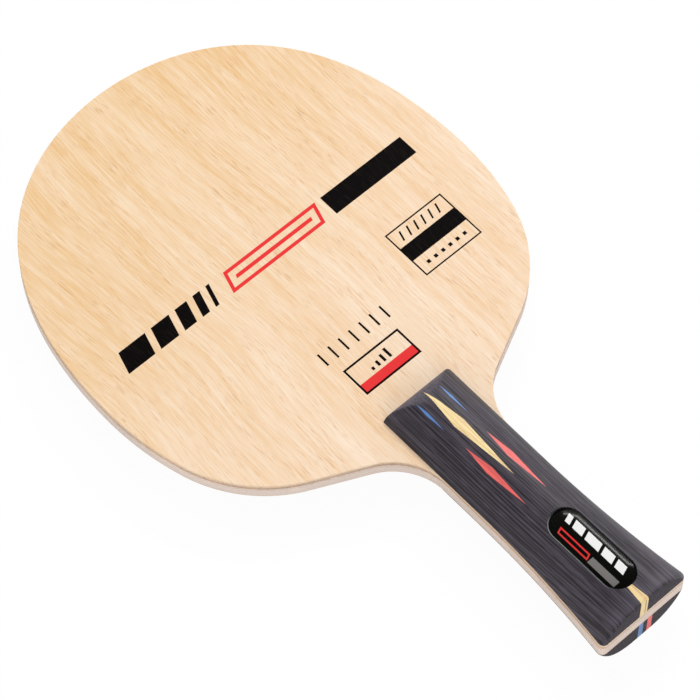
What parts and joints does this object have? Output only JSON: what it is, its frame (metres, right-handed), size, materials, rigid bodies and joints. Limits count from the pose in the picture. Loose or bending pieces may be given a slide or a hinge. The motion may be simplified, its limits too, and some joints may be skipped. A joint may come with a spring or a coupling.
{
  "type": "table tennis blade",
  "caption": "Bare table tennis paddle blade: laminated wood head with fibre fleece layers and a flared handle of two inlaid dark scales with an oval domed badge.",
  "frame": {"origin": "middle of the overall length, on the middle plane of the laminate and the centre line of the handle", "axes": "+X across the head, +Y along the handle towards the head's tip, +Z out of the front face, the one with the badge"},
  "size_m": [0.1512, 0.256, 0.0254],
  "materials": {
    "face_wood": "fine-sanded pale veneer with straight grain along the handle",
    "second_wood": "sanded edge of a pale brown veneer",
    "inner_wood": "sanded edge of a greyish veneer",
    "core_wood": "sanded edge of a light core veneer",
    "fleece": "resin-bonded fibre fleece, seen as a thin dark line",
    "dyed_wood": "grey-black dyed laminated wood with fine straight lines, satin",
    "gold_wood": "yellow dyed veneer inlay, satin",
    "red_wood": "red dyed veneer inlay, satin",
    "blue_wood": "blue dyed veneer inlay, satin",
    "leaf_wood": "thin dark veneer leaf, satin",
    "badge_black": "gloss black backing",
    "badge_clear": "clear cast resin dome, high gloss"
  },
  "bodies": {
    "root": {"front_face_veneer": "face_wood", "front_second_veneer": "second_wood", "front_fleece": "fleece", "front_inner_veneer": "inner_wood", "core_veneer": "core_wood", "rear_inner_veneer": "inner_wood", "rear_fleece": "fleece", "rear_second_veneer": "second_wood", "rear_face_veneer": "face_wood", "front_scale": "dyed_wood", "rear_scale": "dyed_wood", "gold_point": "gold_wood", "red_points": "red_wood", "blue_points": "blue_wood", "gold_butt_wedge": "gold_wood", "dark_butt_leaf": "leaf_wood", "rear_blue_wedge": "blue_wood", "rear_red_wedge": "red_wood", "badge_plate": "badge_black", "badge_dome": "badge_clear"}
  },
  "joints": []
}
